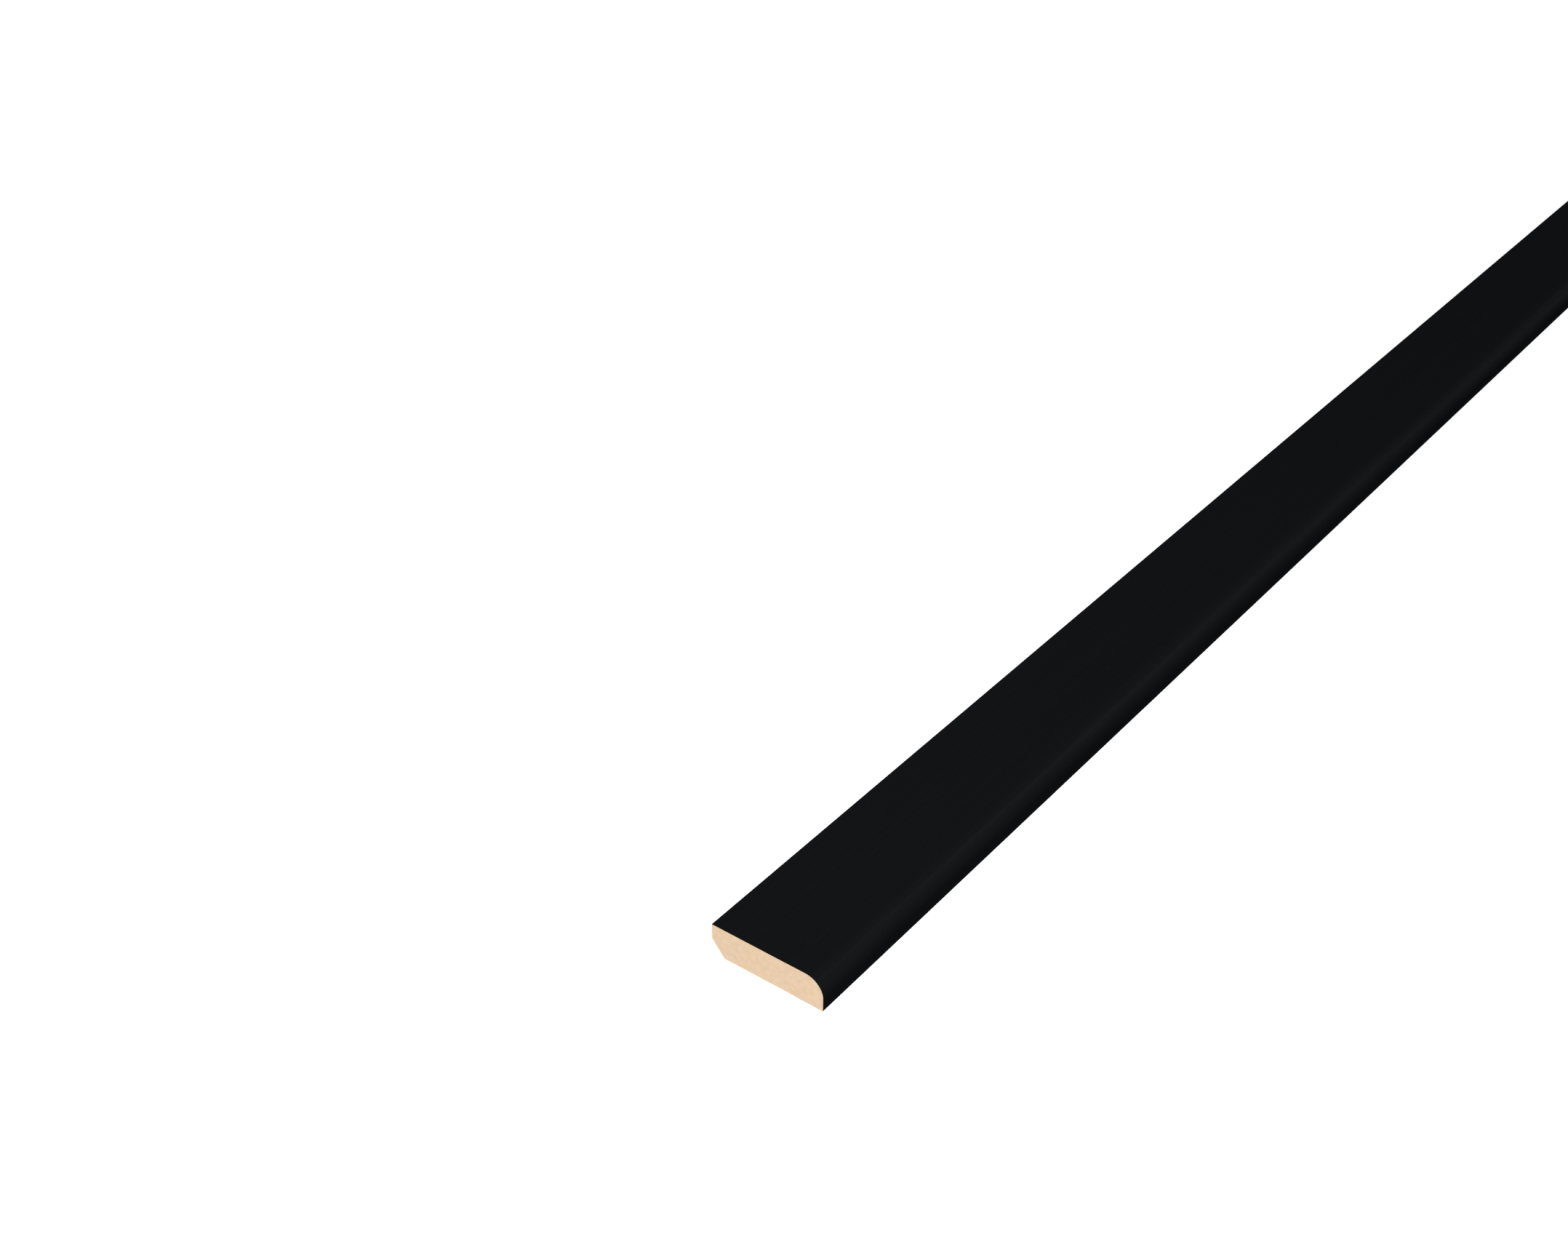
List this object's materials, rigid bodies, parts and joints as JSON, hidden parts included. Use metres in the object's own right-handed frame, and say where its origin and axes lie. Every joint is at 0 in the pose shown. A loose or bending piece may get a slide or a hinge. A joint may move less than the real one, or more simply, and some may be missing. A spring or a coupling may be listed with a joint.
{
  "type": "cover strip",
  "caption": "Long flat trim strip of fibreboard wrapped in black foil, with a rounded front edge and an undercut wall edge, glued on to cover a gap or joint.",
  "frame": {"origin": "on the floor under the middle of the strip, in the plane of its glued back", "axes": "+X along the strip, +Y across it from the rounded front edge to the undercut wall edge, +Z from the back to the face"},
  "size_m": [2.4, 0.022, 0.006],
  "materials": {
    "mdf": "matte",
    "black_foil": "satin"
  },
  "bodies": {
    "root": {"mdf_core": "mdf", "foil_wrap": "black_foil"}
  },
  "joints": []
}
